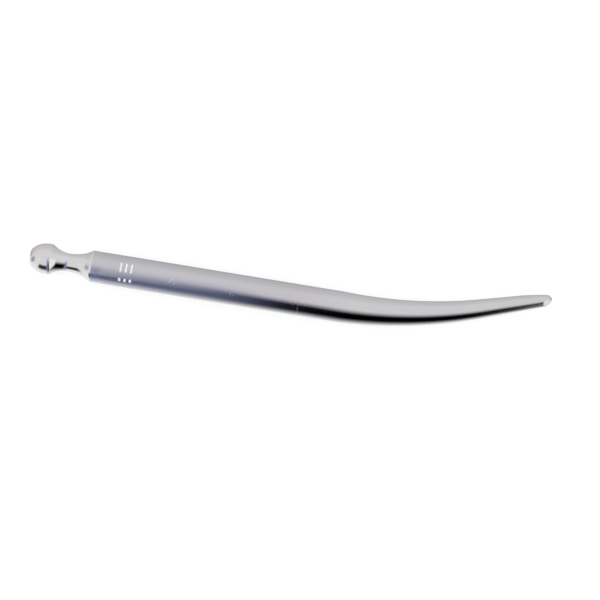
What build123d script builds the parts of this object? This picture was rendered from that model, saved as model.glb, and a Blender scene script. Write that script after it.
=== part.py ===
from build123d import *
import os
from math import asin, cos, degrees, radians, sin, sqrt, tan

# A hand instrument with a hollow handle: a turned end knob and a curved, tapered working end,
# each with a spigot brazed into a tubular sleeve. It lies at rest on the plane z = 0, on its
# handle and on the end of its tip. +X runs along the handle from the knob to the tip, the tip
# curves towards +Y, and the origin is under the middle of the whole instrument.
# Stations are distances along the instrument's axis, measured from the knob's end face.

# Driving dimensions, in millimetres and degrees.
handle_radius = 4.75
bore_radius = 3.75

knob_face_radius = 2.25
knob_radius = 4.65
knob_dome_length = 4.5
knob_rim_end = 6.35
knob_face_round = 0.4
knob_rim_round = 0.8
neck_station = 11.4
neck_radius = 2.7
flare_end = 16.75
flare_end_radius = 3.75
flare_round = 3.0
shoulder_end = 18.4
shoulder_round = 0.6

rear_joint = 18.8
front_joint = 81.0
braze_width = 0.2
knob_spigot_length = 14.0
tang_length = 22.0
spigot_chamfer = 0.6

bend_start = 94.0
bend_radius = 138.0
bend_angle = 17.4
bend_sections = 9
tip_length = 21.9
nose_length = 3.3
nose_root_radius = 2.08
nose_fullness = 0.5523
facet_length = 8.7
facet_angle = 7.2
facet_turn = 20.0

mark_station = 29.2
mark_pitch = 1.6
mark_count = 3
bar_width = 0.5
bar_reach = 2.8
bar_row_angle = 14.0
tick_width = 0.7
tick_reach = 1.5
tick_row_angle = -33.0

# The shank tapers evenly from the start of the bend to the root of the nose.
bend_length = bend_radius * radians(bend_angle)
cone_length = tip_length - nose_length
taper = (handle_radius - nose_root_radius) / (bend_length + cone_length)
tip_root_radius = handle_radius - taper * bend_length
facet_heel_radius = nose_root_radius + taper * (facet_length - nose_length)
facet_toe_radius = facet_heel_radius - facet_length * tan(radians(facet_angle))

# How far the bend and the straight tip carry the axis forward and sideways.
bend_reach = bend_radius * sin(radians(bend_angle))
bend_offset = bend_radius * (1 - cos(radians(bend_angle)))
nose_root_offset = bend_offset + cone_length * sin(radians(bend_angle))
tip_reach = bend_start + bend_reach + tip_length * cos(radians(bend_angle))
tip_offset = bend_offset + tip_length * sin(radians(bend_angle))

# At rest the bend rolls down about the handle until the root of the nose meets z = 0 as well.
rest_roll = degrees(asin((handle_radius - nose_root_radius) / nose_root_offset))

# The centre of the knob's face, seen from the origin under the middle of the plan.
plan_width = handle_radius + (tip_offset + facet_toe_radius) * cos(radians(rest_roll))
face_centre = Vector(-tip_reach / 2, handle_radius - plan_width / 2, handle_radius)
handle_axis = Axis(face_centre, (1, 0, 0))

# The bend's own plane: x along the handle, y towards the inside of the curve.
bend_normal = Vector(0, sin(radians(rest_roll)), cos(radians(rest_roll)))
bend_plane = Plane(origin=face_centre, x_dir=(1, 0, 0), z_dir=bend_normal)


def section_plane(station):
    """The plane square to the handle at a station, facing the tip."""
    return Plane(origin=face_centre + Vector(station, 0, 0), x_dir=(0, 1, 0), z_dir=(1, 0, 0))


def clock_plane(angle):
    """The handle's lengthwise plane whose y points at an angle from straight up, towards +Y."""
    turn = radians(angle)
    return Plane(origin=face_centre, x_dir=(1, 0, 0), z_dir=(0, -cos(turn), sin(turn)))


os.makedirs("parts", exist_ok=True)

# End knob: dome, rim, waisted neck and shoulder, turned in one piece with its spigot.
knob_spigot_end = rear_joint + knob_spigot_length
with BuildPart() as end_knob:
    with BuildSketch(bend_plane) as knob_profile:
        with BuildLine():
            face = Line((0, 0), (0, knob_face_radius))
            dome = TangentArc((knob_dome_length, knob_radius), face @ 1, tangent=(-1, 0))
            rim = Line(dome @ 0, (knob_rim_end, knob_radius))
            cove = TangentArc((neck_station, neck_radius), rim @ 1, tangent=(-1, 0))
            flare = TangentArc(cove @ 0, (flare_end, flare_end_radius), tangent=(1, 0))
            shoulder = Line(flare @ 1, (shoulder_end, handle_radius))
            land = Line(shoulder @ 1, (rear_joint, handle_radius))
            step = Line(land @ 1, (rear_joint, bore_radius))
            spigot = Line(step @ 1, (knob_spigot_end, bore_radius))
            Polyline(spigot @ 1, (knob_spigot_end, 0), face @ 0)
        make_face()
        corners = knob_profile.vertices()
        fillet(corners.sort_by_distance(face @ 1)[0], knob_face_round)
        fillet(corners.sort_by_distance(rim @ 1)[0], knob_rim_round)
        fillet(corners.sort_by_distance(flare @ 1)[0], flare_round)
        fillet(corners.sort_by_distance(shoulder @ 1)[0], shoulder_round)
        chamfer(corners.sort_by_distance(spigot @ 1)[0], spigot_chamfer)
    revolve(axis=handle_axis)
end_knob.part.label = "end_knob"
export_step(end_knob.part, "parts/end_knob.step")

# Braze rings: the filler that closes each joint flush with the handle.
for name, station in (("rear_braze_ring", rear_joint), ("front_braze_ring", front_joint)):
    with BuildPart() as braze_ring:
        with BuildSketch(section_plane(station)):
            Circle(handle_radius)
            Circle(bore_radius, mode=Mode.SUBTRACT)
        extrude(amount=braze_width)
    braze_ring.part.label = name
    export_step(braze_ring.part, f"parts/{name}.step")

# Handle sleeve: a plain tube. Near its rear end it has a row of long and a row of short ticks,
# flat cuts across the tube that are deepest at their middle and run out at the surface.
sleeve_start = rear_joint + braze_width
tick_rows = ((bar_row_angle, bar_width, bar_reach), (tick_row_angle, tick_width, tick_reach))
with BuildPart() as handle_sleeve:
    with BuildSketch(section_plane(sleeve_start)):
        Circle(handle_radius)
        Circle(bore_radius, mode=Mode.SUBTRACT)
    extrude(amount=front_joint - sleeve_start)
    for angle, width, reach in tick_rows:
        floor_radius = sqrt(handle_radius**2 - (reach / 2) ** 2)
        row = clock_plane(angle)
        floor_centre = row.from_local_coords((mark_station, floor_radius, 0))
        with BuildSketch(Plane(origin=floor_centre, x_dir=(1, 0, 0), z_dir=row.y_dir)):
            with GridLocations(mark_pitch, 0, mark_count, 1):
                Rectangle(width, 2 * reach)
        extrude(amount=handle_radius, mode=Mode.SUBTRACT)
handle_sleeve.part.label = "handle_sleeve"
export_step(handle_sleeve.part, "parts/handle_sleeve.step")

# Working end: a tang for the sleeve, a short straight shank, the tapered bend and the tip.
shank_start = front_joint + braze_width
with BuildPart() as working_end:
    with BuildSketch(bend_plane) as shank_profile:
        with BuildLine():
            tang = Line((shank_start - tang_length, bore_radius), (shank_start, bore_radius))
            shank = Line((shank_start, handle_radius), (bend_start, handle_radius))
            Line(tang @ 1, shank @ 0)
            Polyline(shank @ 1, (bend_start, 0), (shank_start - tang_length, 0), tang @ 0)
        make_face()
        chamfer(shank_profile.vertices().sort_by_distance(tang @ 0)[0], spigot_chamfer)
    revolve(axis=handle_axis)

    with BuildLine(bend_plane):
        bend = JernArc((bend_start, 0), (1, 0), bend_radius, bend_angle)
    for section in range(bend_sections + 1):
        share = section / bend_sections
        with BuildSketch(Plane(origin=bend @ share, x_dir=bend_normal, z_dir=bend % share)):
            Circle(handle_radius - taper * bend_length * share)
    loft()

    tip_plane = Plane(origin=bend @ 1, x_dir=bend % 1, z_dir=bend_normal)
    with BuildSketch(tip_plane):
        with BuildLine():
            cone = Line((0, tip_root_radius), (cone_length, nose_root_radius))
            nose_pull = nose_fullness * nose_length
            Bezier(
                cone @ 1,
                (cone_length + nose_pull, nose_root_radius - taper * nose_pull),
                (tip_length, nose_fullness * nose_root_radius),
                (tip_length, 0),
            )
            Polyline((tip_length, 0), (0, 0), cone @ 0)
        make_face()
    revolve(axis=Axis(tip_plane.origin, tip_plane.x_dir))

    # The working facet: a flat ground along the inside of the curve, turned a little upwards.
    turn = radians(facet_turn)
    slope = radians(facet_angle)
    facet_side = tip_plane.y_dir * cos(turn) + tip_plane.z_dir * sin(turn)
    facet_run = tip_plane.x_dir * cos(slope) - facet_side * sin(slope)
    facet_normal = tip_plane.x_dir * sin(slope) + facet_side * cos(slope)
    heel_centre = tip_plane.from_local_coords((tip_length - facet_length, 0, 0))
    facet_heel = heel_centre + facet_side * facet_heel_radius
    with BuildSketch(Plane(origin=facet_heel, x_dir=facet_run, z_dir=facet_normal)):
        Rectangle(2 * facet_length, 4 * nose_root_radius, align=(Align.MIN, Align.CENTER))
    extrude(amount=nose_root_radius, mode=Mode.SUBTRACT)
working_end.part.label = "working_end"
export_step(working_end.part, "parts/working_end.step")
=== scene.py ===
import math

import bpy
import numpy as np
from mathutils import Matrix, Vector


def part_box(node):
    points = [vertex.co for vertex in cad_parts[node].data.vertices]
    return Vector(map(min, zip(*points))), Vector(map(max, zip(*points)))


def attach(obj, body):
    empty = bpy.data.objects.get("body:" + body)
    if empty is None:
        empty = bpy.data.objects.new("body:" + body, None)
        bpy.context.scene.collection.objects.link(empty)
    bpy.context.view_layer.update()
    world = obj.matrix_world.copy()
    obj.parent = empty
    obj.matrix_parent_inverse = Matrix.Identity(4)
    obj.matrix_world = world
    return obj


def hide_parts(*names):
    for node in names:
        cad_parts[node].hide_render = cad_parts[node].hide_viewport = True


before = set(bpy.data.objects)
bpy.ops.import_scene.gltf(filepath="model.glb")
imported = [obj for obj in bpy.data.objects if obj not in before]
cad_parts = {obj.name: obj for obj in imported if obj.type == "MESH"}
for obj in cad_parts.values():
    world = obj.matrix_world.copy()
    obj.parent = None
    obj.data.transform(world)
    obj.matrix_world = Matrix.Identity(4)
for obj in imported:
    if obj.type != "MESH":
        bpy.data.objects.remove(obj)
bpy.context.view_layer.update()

# A curved hand instrument with a hollow handle, lying on a pale table and seen from straight
# above. Every CAD node is replaced by a finely meshed piece of the same shape, made here from
# sections about the instrument's axis. All lengths are in metres, in the row frame.
# A station is a distance along the axis from the knob's end face. A clock angle goes round the
# axis from straight up, towards +Y.

MM = 0.001

# ---------------------------------------------------------------------------------------------
# Sizes from the CAD frame
# ---------------------------------------------------------------------------------------------
knob_low, knob_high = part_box("end_knob")
sleeve_low, sleeve_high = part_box("handle_sleeve")
rear_ring_low, rear_ring_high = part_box("rear_braze_ring")
front_ring_low, front_ring_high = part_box("front_braze_ring")
shank_low, shank_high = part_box("working_end")

HANDLE_RADIUS = (sleeve_high.z - sleeve_low.z) / 2
FACE_X = knob_low.x
AXIS_Y = (sleeve_low.y + sleeve_high.y) / 2
AXIS_Z = (sleeve_low.z + sleeve_high.z) / 2
REAR_JOINT = rear_ring_low.x - FACE_X
SLEEVE_START = sleeve_low.x - FACE_X
SLEEVE_END = sleeve_high.x - FACE_X
SHANK_START = front_ring_high.x - FACE_X
TANG_START = shank_low.x - FACE_X
SPIGOT_END = knob_high.x - FACE_X

# The rest of the shape, as the CAD model has it.
BORE_RADIUS = 3.75 * MM
SPIGOT_CHAMFER = 0.6 * MM

KNOB_FACE_RADIUS = 2.25 * MM
KNOB_RADIUS = 4.65 * MM
KNOB_DOME_LENGTH = 4.5 * MM
KNOB_RIM_END = 6.35 * MM
NECK_STATION = 11.4 * MM
NECK_RADIUS = 2.7 * MM
FLARE_END = 16.75 * MM
FLARE_END_RADIUS = 3.75 * MM
SHOULDER_END = 18.4 * MM

BEND_START = 94.0 * MM
BEND_RADIUS = 138.0 * MM
BEND_ANGLE = math.radians(17.4)
TIP_LENGTH = 21.9 * MM
NOSE_LENGTH = 3.3 * MM
NOSE_ROOT_RADIUS = 2.08 * MM
NOSE_FULLNESS = 0.5523
FACET_LENGTH = 8.7 * MM
FACET_SLOPE = math.radians(7.2)
FACET_TURN = math.radians(20.0)

MARK_STATION = 29.2 * MM
MARK_PITCH = 1.6 * MM
MARK_COUNT = 3
BAR_WIDTH = 0.5 * MM
BAR_REACH = 2.8 * MM
BAR_ROW_ANGLE = math.radians(14.0)
TICK_WIDTH = 0.7 * MM
TICK_REACH = 1.5 * MM
TICK_ROW_ANGLE = math.radians(-33.0)

# Softness of edges, which the CAD model leaves sharp or rounds exactly.
KNOB_SOFTNESS = 0.17 * MM
RIM_CROWN = 0.03 * MM
FACET_SOFTNESS = 0.05 * MM
MARK_SOFTNESS = 0.07 * MM
JOINT_BREAK = 0.012 * MM
BRAZE_SINK = 0.008 * MM

# Worked out from those.
BEND_LENGTH = BEND_RADIUS * BEND_ANGLE
BEND_END = BEND_START + BEND_LENGTH
CONE_LENGTH = TIP_LENGTH - NOSE_LENGTH
NOSE_ROOT = BEND_END + CONE_LENGTH
TIP_END = BEND_END + TIP_LENGTH
FACET_HEEL = TIP_END - FACET_LENGTH
TAPER = (HANDLE_RADIUS - NOSE_ROOT_RADIUS) / (BEND_LENGTH + CONE_LENGTH)
BEND_OFFSET = BEND_RADIUS * (1 - math.cos(BEND_ANGLE))
NOSE_ROOT_OFFSET = BEND_OFFSET + CONE_LENGTH * math.sin(BEND_ANGLE)
REST_ROLL = math.asin((HANDLE_RADIUS - NOSE_ROOT_RADIUS) / NOSE_ROOT_OFFSET)
FACET_HEEL_RADIUS = NOSE_ROOT_RADIUS + TAPER * (FACET_LENGTH - NOSE_LENGTH)

# How finely the meshes follow the shape.
SEGMENTS = 160
EVEN_ANGLES = np.linspace(0, 2 * math.pi, SEGMENTS, endpoint=False)
FINE_STEP = 0.02 * MM
KNOB_STEP = 0.1 * MM
BORE_STEP = 4.0 * MM
SLEEVE_STEP = 1.0 * MM
SLEEVE_TURN = math.radians(2.5)
MARK_STEP = 0.035 * MM
MARK_TURN = math.radians(0.5)
SHANK_STEP = 0.8 * MM
BEND_STEP = 0.5 * MM
FACET_STEP = 0.07 * MM
NOSE_ROWS = 40
TIP_HOLE = 0.01 * MM
SHARP_ANGLE = math.radians(30)


# ---------------------------------------------------------------------------------------------
# Shape: the axis, and skins of sections about it
# ---------------------------------------------------------------------------------------------
def axis_frame(station):
    """The axis at a station: its point, and the ways to the bend's inside and out of its plane."""
    inward = np.array([0, math.cos(REST_ROLL), -math.sin(REST_ROLL)])
    upward = np.array([0, math.sin(REST_ROLL), math.cos(REST_ROLL)])
    forward = np.array([1.0, 0, 0])
    turn = min(max(station - BEND_START, 0) / BEND_RADIUS, BEND_ANGLE)
    beyond = max(station - BEND_END, 0)
    reach = min(station, BEND_START) + BEND_RADIUS * math.sin(turn) + beyond * math.cos(turn)
    offset = BEND_RADIUS * (1 - math.cos(turn)) + beyond * math.sin(turn)
    point = np.array([FACE_X, AXIS_Y, AXIS_Z]) + forward * reach + inward * offset
    side = inward * math.cos(turn) - forward * math.sin(turn)
    return point, side, upward


def section_points(station, radii, angles):
    """The points of one section, and the same points as they were before the bend."""
    point, side, upward = axis_frame(station)
    radii = np.broadcast_to(radii, angles.shape)
    turned = angles - REST_ROLL
    bent = point + np.outer(radii * np.sin(turned), side) + np.outer(radii * np.cos(turned), upward)
    straight = np.column_stack(
        [np.full(len(angles), station), radii * np.sin(angles), radii * np.cos(angles)]
    )
    return bent, straight


def skin(name, sections, angles=EVEN_ANGLES, closed=False):
    """
    A closed mesh over sections, each a station and its radius or radii. It closes in a point on
    the axis at each end or, closed, in itself. The attribute "blank" keeps each point's place
    before the bend, which the finishes follow.
    """
    count = len(angles)
    pairs = [section_points(station, radii, angles) for station, radii in sections]
    points = np.concatenate([bent for bent, straight in pairs])
    blank = np.concatenate([straight for bent, straight in pairs])
    faces = []
    rows = len(sections) if closed else len(sections) - 1
    for row in range(rows):
        here = row * count
        there = (row + 1) % len(sections) * count
        for column in range(count):
            beside = (column + 1) % count
            faces.append((here + column, there + column, there + beside, here + beside))
    if not closed:
        first = len(points)
        last = first + 1
        end = first - count
        for station in (sections[0][0], sections[-1][0]):
            bent, straight = section_points(station, 0, angles[:1])
            points = np.concatenate([points, bent])
            blank = np.concatenate([blank, straight])
        for column in range(count):
            beside = (column + 1) % count
            faces.append((first, column, beside))
            faces.append((last, end + beside, end + column))
    mesh = bpy.data.meshes.new(name)
    mesh.from_pydata(points.tolist(), [], faces)
    attribute = mesh.attributes.new("blank", "FLOAT_VECTOR", "POINT")
    attribute.data.foreach_set("vector", blank.ravel())
    mesh.shade_smooth()
    mesh.set_sharp_from_angle(angle=SHARP_ANGLE)
    piece = bpy.data.objects.new(name, mesh)
    bpy.context.scene.collection.objects.link(piece)
    return piece


def steps(start, end, size):
    """Even stations from start to end, both included, about a size apart."""
    return np.linspace(start, end, max(2, round((end - start) / size) + 1))


def ease(value):
    """A smooth step from 0 to 1."""
    value = np.clip(value, 0, 1)
    return value * value * (3 - 2 * value)


# ---------------------------------------------------------------------------------------------
# End knob: an outline turned about the axis, with softened corners
# ---------------------------------------------------------------------------------------------
def arc(start, end, heading):
    """
    Points from start to end on the arc that leaves start with a heading. Points and headings
    are complex: station + 1j * radius.
    """
    half_turn = np.angle((end - start) / heading)
    share = np.linspace(0, 1, round(abs(end - start) / FINE_STEP))
    return start + (end - start) * np.sin(share * half_turn) / np.sin(half_turn) * np.exp(
        1j * (share - 1) * half_turn
    )


def soften(outline, softness):
    """An outline with evenly spaced points and rounded corners. Its ends stay where they are."""
    along = np.concatenate([[0], np.cumsum(np.abs(np.diff(outline)))])
    points = np.interp(steps(0, along[-1], FINE_STEP), along, outline)
    reach = round(3 * softness / FINE_STEP)
    weights = np.exp(-((np.arange(-reach, reach + 1) * FINE_STEP / softness) ** 2) / 2)
    before = 2 * points[0] - points[reach:0:-1]
    after = 2 * points[-1] - points[-2 : -reach - 2 : -1]
    return np.convolve(np.concatenate([before, points, after]), weights / weights.sum(), "valid")


def knob_outline():
    """The knob's visible outline, from the middle of its face to the joint with the sleeve."""
    dome_end = KNOB_DOME_LENGTH + 1j * (KNOB_RADIUS - RIM_CROWN)
    rim_end = KNOB_RIM_END + 1j * (KNOB_RADIUS - RIM_CROWN)
    crown = 2 * math.atan(2 * RIM_CROWN / (KNOB_RIM_END - KNOB_DOME_LENGTH))
    neck = NECK_STATION + 1j * NECK_RADIUS
    flare_end = FLARE_END + 1j * FLARE_END_RADIUS
    outline = np.concatenate([
        [0],
        arc(dome_end, 1j * KNOB_FACE_RADIUS, -np.exp(1j * crown))[::-1],
        arc(dome_end, rim_end, np.exp(1j * crown))[1:-1],
        arc(neck, rim_end, -1)[::-1],
        arc(neck, flare_end, 1)[1:],
        [SHOULDER_END + 1j * HANDLE_RADIUS, REAR_JOINT + 1j * HANDLE_RADIUS],
    ])
    return soften(outline, KNOB_SOFTNESS)[:: round(KNOB_STEP / FINE_STEP)]


def make_end_knob():
    sections = [(point.real, point.imag) for point in knob_outline()[1:]]
    sections += [
        (REAR_JOINT - JOINT_BREAK, HANDLE_RADIUS),
        (REAR_JOINT, HANDLE_RADIUS - JOINT_BREAK),
        (REAR_JOINT, BORE_RADIUS),
        (SPIGOT_END - SPIGOT_CHAMFER, BORE_RADIUS),
        (SPIGOT_END, BORE_RADIUS - SPIGOT_CHAMFER),
    ]
    return skin("knob", sections)


# ---------------------------------------------------------------------------------------------
# Sleeve and braze rings
# ---------------------------------------------------------------------------------------------
MARK_ROWS = (
    (BAR_ROW_ANGLE, BAR_WIDTH, BAR_REACH),
    (TICK_ROW_ANGLE, TICK_WIDTH, TICK_REACH),
)
# The patch that holds both rows, which the sleeve's mesh follows more finely.
MARK_MARGIN = 2.4 * MM
MARK_REGION = (MARK_STATION - MARK_MARGIN, MARK_STATION + MARK_MARGIN)
MARK_ANGLES = (math.radians(-46), math.radians(34))


def mark_depths(station, angles):
    """How deep the ticks are cut at a station, at each clock angle."""
    depth = np.zeros(len(angles))
    for row_angle, width, reach in MARK_ROWS:
        floor = math.sqrt(HANDLE_RADIUS**2 - (reach / 2) ** 2)
        turn = (angles - row_angle + math.pi) % (2 * math.pi) - math.pi
        cut = HANDLE_RADIUS - floor / np.maximum(np.cos(turn), 0.5)
        for number in range(MARK_COUNT):
            centre = MARK_STATION + (number - (MARK_COUNT - 1) / 2) * MARK_PITCH
            inside = (width / 2 - abs(station - centre)) / MARK_SOFTNESS + 0.5
            depth = np.maximum(depth, cut * ease(inside))
    return depth


def make_handle_sleeve():
    start, end = MARK_ANGLES
    fine = steps(start, end, MARK_TURN)
    coarse = steps(end, start + 2 * math.pi, SLEEVE_TURN)[1:-1]
    angles = np.concatenate([fine, coarse])
    outer = np.concatenate([
        steps(SLEEVE_START + JOINT_BREAK, MARK_REGION[0], SLEEVE_STEP)[:-1],
        steps(*MARK_REGION, MARK_STEP),
        steps(MARK_REGION[1], SLEEVE_END - JOINT_BREAK, SLEEVE_STEP)[1:],
    ])
    sections = [(SLEEVE_START, HANDLE_RADIUS - JOINT_BREAK)]
    sections += [(station, HANDLE_RADIUS - mark_depths(station, angles)) for station in outer]
    sections += [(SLEEVE_END, HANDLE_RADIUS - JOINT_BREAK)]
    bore = steps(SLEEVE_START, SLEEVE_END, BORE_STEP)[::-1]
    sections += [(station, BORE_RADIUS) for station in bore]
    return skin("sleeve", sections, angles, closed=True)


def make_braze_ring(name, start, end):
    """The filler in a joint, a shallow groove where it has sunk a little on cooling."""
    sections = [
        (start, BORE_RADIUS),
        (start, HANDLE_RADIUS - JOINT_BREAK),
        ((2 * start + end) / 3, HANDLE_RADIUS - BRAZE_SINK),
        ((start + 2 * end) / 3, HANDLE_RADIUS - BRAZE_SINK),
        (end, HANDLE_RADIUS - JOINT_BREAK),
        (end, BORE_RADIUS),
    ]
    return skin(name, sections, closed=True)


# ---------------------------------------------------------------------------------------------
# Working end
# ---------------------------------------------------------------------------------------------
def facet_radii(station, radius):
    """A section's radii where the flat at the tip cuts into it, with its edge worn round."""
    height = FACET_HEEL_RADIUS - (station - FACET_HEEL) * math.tan(FACET_SLOPE)
    from_flat = np.cos(EVEN_ANGLES - REST_ROLL - (math.pi / 2 - FACET_TURN))
    flat = np.where(from_flat > 0.1, height / np.maximum(from_flat, 0.1), 10 * HANDLE_RADIUS)
    overlap = np.maximum(FACET_SOFTNESS - np.abs(radius - flat), 0)
    return np.minimum(radius, flat) - overlap**2 / (4 * FACET_SOFTNESS)


def nose_sections():
    """The rounded end of the tip, as stations and radii."""
    share = np.linspace(0, 1, NOSE_ROWS + 2)[1:-1]
    pull = NOSE_FULLNESS * NOSE_LENGTH
    corners = np.array([
        NOSE_ROOT + 1j * NOSE_ROOT_RADIUS,
        NOSE_ROOT + pull + 1j * (NOSE_ROOT_RADIUS - TAPER * pull),
        TIP_END + 1j * NOSE_FULLNESS * NOSE_ROOT_RADIUS,
        TIP_END,
    ])
    weights = [
        math.comb(3, power) * share**power * (1 - share) ** (3 - power) for power in range(4)
    ]
    return sum(weight * corner for weight, corner in zip(weights, corners))


def make_working_end():
    sections = [
        (TANG_START, BORE_RADIUS - SPIGOT_CHAMFER),
        (TANG_START + SPIGOT_CHAMFER, BORE_RADIUS),
        (SHANK_START, BORE_RADIUS),
        (SHANK_START, HANDLE_RADIUS - JOINT_BREAK),
    ]
    sections += [
        (station, HANDLE_RADIUS)
        for station in steps(SHANK_START + JOINT_BREAK, BEND_START, SHANK_STEP)
    ]
    tapered = np.concatenate([
        steps(BEND_START, FACET_HEEL - 0.3 * MM, BEND_STEP)[1:],
        steps(FACET_HEEL - 0.2 * MM, NOSE_ROOT, FACET_STEP),
    ])
    for station in tapered:
        radius = HANDLE_RADIUS - TAPER * (station - BEND_START)
        sections.append((station, facet_radii(station, radius)))
    for point in nose_sections():
        sections.append((point.real, facet_radii(point.real, point.imag)))
    sections.append((TIP_END, TIP_HOLE))
    return skin("shank_and_tip", sections)


# ---------------------------------------------------------------------------------------------
# Finishes
# ---------------------------------------------------------------------------------------------
class Finish:
    """A metal's material and node tree, with short ways to make the nodes that finishes share."""

    def __init__(self, name):
        self.material = bpy.data.materials.new(name)
        self.material.use_nodes = True
        self.tree = self.material.node_tree
        self.tree.nodes.clear()
        output = self.tree.nodes.new("ShaderNodeOutputMaterial")
        self.surface = self.tree.nodes.new("ShaderNodeBsdfPrincipled")
        self.surface.inputs["Metallic"].default_value = 1.0
        self.tree.links.new(self.surface.outputs["BSDF"], output.inputs["Surface"])
        blank = self.node("ShaderNodeAttribute")
        blank.attribute_name = "blank"
        inputs = {0: blank.outputs["Vector"], "Scale": 1 / MM}
        self.place = self.node("ShaderNodeVectorMath", inputs, "SCALE").outputs[0]
        split = self.node("ShaderNodeSeparateXYZ", {"Vector": self.place})
        self.station = split.outputs["X"]
        self.clock = self.math("ARCTAN2", split.outputs["Y"], split.outputs["Z"])
        across = self.node("ShaderNodeVectorMath", {0: self.place, 1: (0, 1, 1)}, "MULTIPLY")
        self.radius = self.node(
            "ShaderNodeVectorMath", {0: across.outputs[0]}, "LENGTH"
        ).outputs["Value"]

    def node(self, kind, inputs=None, operation=None):
        made = self.tree.nodes.new(kind)
        if operation:
            made.operation = operation
        for socket, value in (inputs or {}).items():
            if isinstance(value, bpy.types.NodeSocket):
                self.tree.links.new(value, made.inputs[socket])
            else:
                made.inputs[socket].default_value = value
        return made

    def math(self, operation, *values):
        return self.node("ShaderNodeMath", dict(enumerate(values)), operation).outputs[0]

    def total(self, values):
        """The sum of some values, at most 1."""
        made = values[0]
        for value in values[1:]:
            made = self.math("ADD", made, value)
        return self.math("MINIMUM", made, 1.0)

    def noise(self, size, detail=2.0, stretch=(1, 1, 1)):
        """Soft noise from 0 to 1, with patches of about a size in mm, longer where stretched."""
        sizes = {0: self.place, 1: tuple(size * length for length in stretch)}
        place = self.node("ShaderNodeVectorMath", sizes, "DIVIDE").outputs[0]
        inputs = {"Vector": place, "Scale": 1.0, "Detail": detail, "Roughness": 0.55}
        return self.node("ShaderNodeTexNoise", inputs).outputs["Fac"]

    def ramp(self, value, low, high, at_low=0.0, at_high=1.0):
        """The value's rise from low to high, eased, as a number from at_low to at_high."""
        inputs = {
            "Value": value, "From Min": low, "From Max": high, "To Min": at_low, "To Max": at_high
        }
        made = self.node("ShaderNodeMapRange", inputs)
        made.interpolation_type = "SMOOTHSTEP"
        return made.outputs[0]

    def blend(self, amount, colour, other):
        made = self.tree.nodes.new("ShaderNodeMix")
        made.data_type = "RGBA"
        for socket, value in ((0, amount), (6, colour), (7, other)):
            if isinstance(value, bpy.types.NodeSocket):
                self.tree.links.new(value, made.inputs[socket])
            elif socket == 0:
                made.inputs[socket].default_value = value
            else:
                made.inputs[socket].default_value = (*value, 1.0)
        return made.outputs[2]

    def scratch(self, station, clock, length, heading, width=0.12):
        """A short straight scratch, 0 to 1: its place and size in mm, its angles in degrees."""
        along = self.math("SUBTRACT", self.station, station)
        around = self.math("SUBTRACT", self.clock, math.radians(clock))
        around = self.math("MULTIPLY", around, HANDLE_RADIUS / MM)
        cos, sin = math.cos(math.radians(heading)), math.sin(math.radians(heading))
        run = self.math("ADD", self.math("MULTIPLY", along, cos), self.math("MULTIPLY", around, sin))
        off = self.math(
            "SUBTRACT", self.math("MULTIPLY", around, cos), self.math("MULTIPLY", along, sin)
        )
        near = self.ramp(self.math("ABSOLUTE", off), 0.0, width, 1.0, 0.0)
        within = self.ramp(self.math("ABSOLUTE", run), 0.35 * length, 0.5 * length, 1.0, 0.0)
        return self.math("MULTIPLY", near, within)

    def finish(self, colour, roughness, height, height_scale):
        """Joins a finish's colour, roughness and height, in mm, to the metal."""
        self.tree.links.new(colour, self.surface.inputs["Base Color"])
        self.tree.links.new(roughness, self.surface.inputs["Roughness"])
        inputs = {"Strength": 1.0, "Distance": height_scale * MM, "Height": height}
        bump = self.node("ShaderNodeBump", inputs)
        self.tree.links.new(bump.outputs["Normal"], self.surface.inputs["Normal"])
        return self.material


# Short bright scratches and pits in the handle. Each is a station in mm, a clock angle in degrees,
# a length in mm and a heading in degrees.
SLEEVE_SCRATCHES = (
    (42.8, -6, 2.0, 50),
    (43.9, -14, 1.0, 20),
    (60.8, -18, 1.2, 70),
    (61.6, -22, 0.7, 30),
    (78.7, -12, 0.4, 0),
    (79.5, -19, 0.4, 0),
    (80.2, -7, 0.4, 0),
)
SHANK_SCRATCHES = (
    (81.7, -15, 0.4, 0),
    (82.4, -5, 0.5, 0),
    (83.0, -17, 0.4, 0),
)


def handle_steel(name, scratches):
    """
    The steel of the sleeve and the working end, even across their joint: glass beading with
    faint hairlines, burnished by the knob, worn smoother forward and polished along the bend.
    """
    steel = Finish(name)
    clouds = steel.noise(7.0, 3.0, (3, 1, 1))
    blotches = steel.noise(1.6, 3.0, (2, 1, 1))
    grain = steel.noise(0.16, 2.0)
    hairs = steel.noise(0.12, 1.0, (40, 1, 1))
    burnish = steel.ramp(steel.station, 20.2, 23.2, 1.0, 0.0)
    wear = steel.ramp(steel.station, 40.0, 78.0)
    polish = steel.ramp(steel.station, 76.0, 100.0)
    marks = steel.total([steel.scratch(*scratch) for scratch in scratches])

    colour = steel.blend(clouds, (0.555, 0.555, 0.57), (0.60, 0.60, 0.615))
    colour = steel.blend(polish, colour, (0.64, 0.64, 0.645))
    colour = steel.blend(steel.math("MULTIPLY", blotches, 0.2), colour, (0.51, 0.52, 0.55))
    colour = steel.blend(marks, colour, (0.97, 0.97, 1.00))

    roughness = steel.math("MULTIPLY_ADD", wear, -0.16, 0.24)
    roughness = steel.math("MULTIPLY_ADD", burnish, -0.21, roughness)
    roughness = steel.math("MULTIPLY_ADD", polish, -0.02, roughness)
    roughness = steel.math("MULTIPLY_ADD", blotches, 0.04, roughness)
    roughness = steel.math("MULTIPLY_ADD", hairs, 0.03, roughness)
    roughness = steel.math("MULTIPLY_ADD", marks, 0.2, roughness)

    beading = steel.math("MULTIPLY_ADD", wear, -0.75, 1.0)
    height = steel.math("MULTIPLY_ADD", hairs, 0.5, steel.math("MULTIPLY", grain, beading))
    return steel, colour, roughness, height


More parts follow.
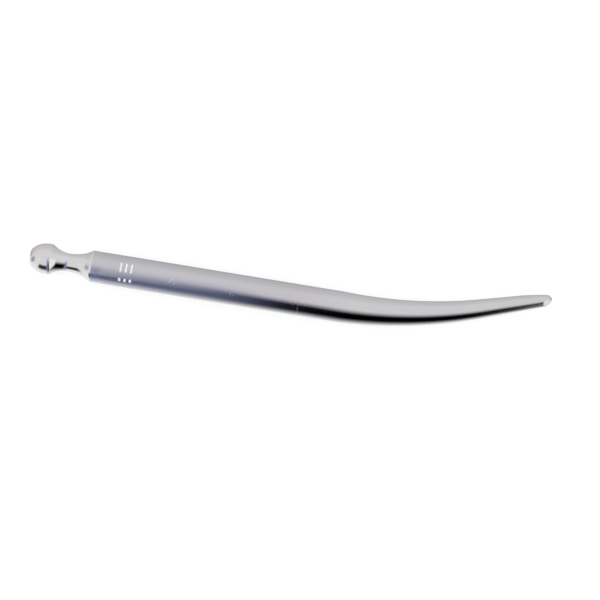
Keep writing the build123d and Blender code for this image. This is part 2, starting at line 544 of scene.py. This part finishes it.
def satin_steel():
    """The sleeve, with frosted size ticks."""
    satin, colour, roughness, height = handle_steel("satin_steel", SLEEVE_SCRATCHES)
    cut = satin.math("SUBTRACT", HANDLE_RADIUS / MM, satin.radius)
    deep = satin.ramp(cut, 0.010, 0.035)
    outside = satin.ramp(cut, 0.3, 0.5, 1.0, 0.0)
    frost = satin.math("MULTIPLY", deep, outside)
    colour = satin.blend(frost, colour, (0.88, 0.88, 0.90))
    roughness = satin.math("MULTIPLY_ADD", frost, 0.35, roughness)
    metal = satin.math("MULTIPLY_ADD", frost, -0.7, 1.0)
    satin.tree.links.new(metal, satin.surface.inputs["Metallic"])
    return satin.finish(colour, roughness, height, 0.004)


def shank_steel():
    """The working end, polished along the bend."""
    shank, colour, roughness, height = handle_steel("shank_steel", SHANK_SCRATCHES)
    return shank.finish(colour, roughness, height, 0.004)


def polished_steel():
    """The knob: a bright polish over faint turning lines."""
    polished = Finish("polished_steel")
    clouds = polished.noise(3.0, 2.0)
    lines = polished.noise(0.08, 2.0, (1, 60, 60))
    colour = polished.blend(clouds, (0.66, 0.65, 0.65), (0.72, 0.72, 0.74))
    roughness = polished.math("MULTIPLY_ADD", clouds, 0.05, 0.08)
    return polished.finish(colour, roughness, lines, 0.0008)


def silver_braze():
    """The joint's filler: a hairline slightly warmer and duller than the steel."""
    braze = Finish("silver_braze")
    clouds = braze.noise(0.5, 3.0)
    colour = braze.blend(clouds, (0.58, 0.575, 0.57), (0.64, 0.635, 0.63))
    roughness = braze.math("MULTIPLY_ADD", clouds, 0.05, 0.10)
    return braze.finish(colour, roughness, clouds, 0.006)


# ---------------------------------------------------------------------------------------------
# The pieces
# ---------------------------------------------------------------------------------------------
def add_piece(piece, node, material):
    """Puts a finish on a piece, which takes its CAD node's place."""
    piece.data.materials.append(material)
    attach(piece, "root")
    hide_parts(node)


braze = silver_braze()
knob = make_end_knob()
rear_ring = make_braze_ring("rear_braze", REAR_JOINT, SLEEVE_START)
sleeve = make_handle_sleeve()
front_ring = make_braze_ring("front_braze", SLEEVE_END, SHANK_START)
working_end = make_working_end()
add_piece(knob, "end_knob", polished_steel())
add_piece(rear_ring, "rear_braze_ring", braze)
add_piece(sleeve, "handle_sleeve", satin_steel())
add_piece(front_ring, "front_braze_ring", braze)
add_piece(working_end, "working_end", shank_steel())


# ---------------------------------------------------------------------------------------------
# Camera, floor and light
# ---------------------------------------------------------------------------------------------
VIEW_TURN = math.radians(9.28)
VIEW_CENTRE = (3.4 * MM, -4.4 * MM)
VIEW_HEIGHT = 0.498
FLOOR_HALF = 3.0


def make_camera():
    """A long lens straight above, turned so that the handle falls a little to the right."""
    camera = bpy.data.cameras.new("camera")
    camera.lens = 100
    camera.sensor_width = 36
    camera.clip_start = 0.01
    holder = bpy.data.objects.new("camera", camera)
    place = Matrix.Translation((*VIEW_CENTRE, AXIS_Z + VIEW_HEIGHT))
    holder.matrix_world = place @ Matrix.Rotation(VIEW_TURN, 4, "Z")
    bpy.context.scene.collection.objects.link(holder)
    bpy.context.scene.camera = holder


def add_stage(name, corners, faces, material):
    """A piece of the studio, which isn't part of the instrument."""
    mesh = bpy.data.meshes.new(name)
    mesh.from_pydata(corners, [], faces)
    mesh.materials.append(material)
    piece = bpy.data.objects.new(name, mesh)
    bpy.context.scene.collection.objects.link(piece)
    return piece


def make_floor():
    """A white table, lit from below as a light box is, so that it hardly takes a shadow."""
    material = bpy.data.materials.new("floor")
    material.use_nodes = True
    surface = material.node_tree.nodes["Principled BSDF"]
    surface.inputs["Base Color"].default_value = (0.45, 0.45, 0.45, 1)
    surface.inputs["Roughness"].default_value = 0.9
    surface.inputs["Specular IOR Level"].default_value = 0.0
    surface.inputs["Emission Color"].default_value = (1, 1, 1, 1)
    surface.inputs["Emission Strength"].default_value = 0.66
    signs = ((-1, -1), (1, -1), (1, 1), (-1, 1))
    corners = [(across * FLOOR_HALF, up * FLOOR_HALF, 0) for across, up in signs]
    add_stage("floor", corners, [(0, 1, 2, 3)], material).visible_glossy = False


def make_world():
    """Even white light from all round, which reflections don't see."""
    world = bpy.data.worlds.new("studio")
    bpy.context.scene.world = world
    world.use_nodes = True
    background = world.node_tree.nodes["Background"]
    background.inputs["Color"].default_value = (1.0, 1.0, 1.0, 1)
    background.inputs["Strength"].default_value = 1.0
    world.cycles_visibility.glossy = False


# One round light tent along X, which only reflections see. Its angles go round the X axis from
# straight above, positive on the -Y side. It is a pale ceiling with one long flag hung in it on
# the -Y side and a duller wall on the other, and past a right angle on the -Y side it stands for
# the light that the table throws back.
TENT_RADIUS = 0.7
TENT_REACH = 2.4
TENT_SEGMENTS = 96
CEILING = (0.95, 0.92, 0.95)
TABLE_LIGHT = (1.1, 1.1, 1.1)
FAR_WALL = (0.8, 0.78, 0.8)
FAR_EDGE = (0.55, 0.55, 0.55)

# A length of the flag: its colour, and the angles at which it starts to fade in, is full, is
# still full and has faded out. FLAG_LENGTHS says where along X each takes over from the last.
GREY_FLAG = ((0.45, 0.45, 0.45), (-40, 40, 100, 150))
WHITE_FLAG = ((1.0, 1.0, 1.0), (-30, 10, 60, 110))
THIN_FLAG = ((0.03, 0.03, 0.03), (45, 62, 78, 110))
BLUE_FLAG = ((0.26, 0.3, 0.53), (-30, 30, 70, 155))
BLACK_FLAG = ((0.0, 0.0, 0.0), (0, 46, 78, 150))
BRIGHT_FLAG = ((1.15, 1.15, 1.1), (-30, 10, 40, 90))
FLAG_LENGTHS = (
    (None, GREY_FLAG),
    ((-1.8, -1.2), WHITE_FLAG),
    ((-0.6, -0.45), THIN_FLAG),
    ((-0.17, -0.14), BLUE_FLAG),
    ((-0.1, 0.0), BLACK_FLAG),
    ((0.5, 0.65), BRIGHT_FLAG),
)


def tent_material():
    """Glow that changes round the tent's angle, blended from one length of the flag to the next."""
    material = bpy.data.materials.new("light_tent")
    material.use_nodes = True
    tree = material.node_tree
    tree.nodes.clear()

    def node(kind, *links, **settings):
        made = tree.nodes.new(kind)
        for setting, value in settings.items():
            setattr(made, setting, value)
        for socket, source in enumerate(links):
            if isinstance(source, bpy.types.NodeSocket):
                tree.links.new(source, made.inputs[socket])
            else:
                made.inputs[socket].default_value = source
        return made

    place = node("ShaderNodeNewGeometry").outputs["Position"]
    split = node("ShaderNodeSeparateXYZ", place)
    from_side = node("ShaderNodeMath", AXIS_Y, split.outputs["Y"], operation="SUBTRACT")
    above = node("ShaderNodeMath", split.outputs["Z"], AXIS_Z, operation="SUBTRACT")
    angle = node("ShaderNodeMath", from_side.outputs[0], above.outputs[0], operation="ARCTAN2")
    share = node("ShaderNodeMapRange", angle.outputs[0], -math.pi, math.pi)

    def ramp(flag, fades):
        """The tent's glow round its angle where one length of the flag hangs."""
        stops = [(-180, TABLE_LIGHT), (-165, FAR_EDGE), (-100, FAR_WALL), (-50, CEILING)]
        stops += zip(fades, (CEILING, flag, flag, TABLE_LIGHT))
        made = node("ShaderNodeValToRGB", share.outputs[0])
        made.color_ramp.interpolation = "EASE"
        elements = made.color_ramp.elements
        elements.remove(elements[1])
        for number, (degrees, colour) in enumerate(stops):
            position = (degrees + 180) / 360
            element = elements[0] if number == 0 else elements.new(position)
            element.position = position
            element.color = (*colour, 1)
        return made.outputs["Color"]

    glow = ramp(*FLAG_LENGTHS[0][1])
    for span, flag in FLAG_LENGTHS[1:]:
        blended = node(
            "ShaderNodeMapRange", split.outputs["X"], *span, interpolation_type="SMOOTHSTEP"
        )
        mix = node("ShaderNodeMix", data_type="RGBA")
        tree.links.new(blended.outputs[0], mix.inputs[0])
        tree.links.new(glow, mix.inputs[6])
        tree.links.new(ramp(*flag), mix.inputs[7])
        glow = mix.outputs[2]
    emission = node("ShaderNodeEmission", glow)
    node("ShaderNodeOutputMaterial", emission.outputs[0])
    return material


def make_tent():
    """The tent itself, a tunnel with closed ends."""
    corners = []
    for angle in np.linspace(0, 2 * math.pi, TENT_SEGMENTS, endpoint=False):
        across, up = AXIS_Y + TENT_RADIUS * math.sin(angle), AXIS_Z + TENT_RADIUS * math.cos(angle)
        corners += [(-TENT_REACH, across, up), (TENT_REACH, across, up)]
    count = len(corners)
    faces = [(n, n + 1, (n + 3) % count, (n + 2) % count) for n in range(0, count, 2)]
    faces += [tuple(range(0, count, 2)), tuple(range(1, count, 2))]
    tent = add_stage("light_tent", corners, faces, tent_material())
    tent.visible_camera = False
    tent.visible_diffuse = False
    tent.visible_transmission = False
    tent.visible_shadow = False


make_camera()
make_floor()
make_world()
make_tent()

scene = bpy.context.scene
scene.view_settings.view_transform = "Standard"
scene.view_settings.look = "None"
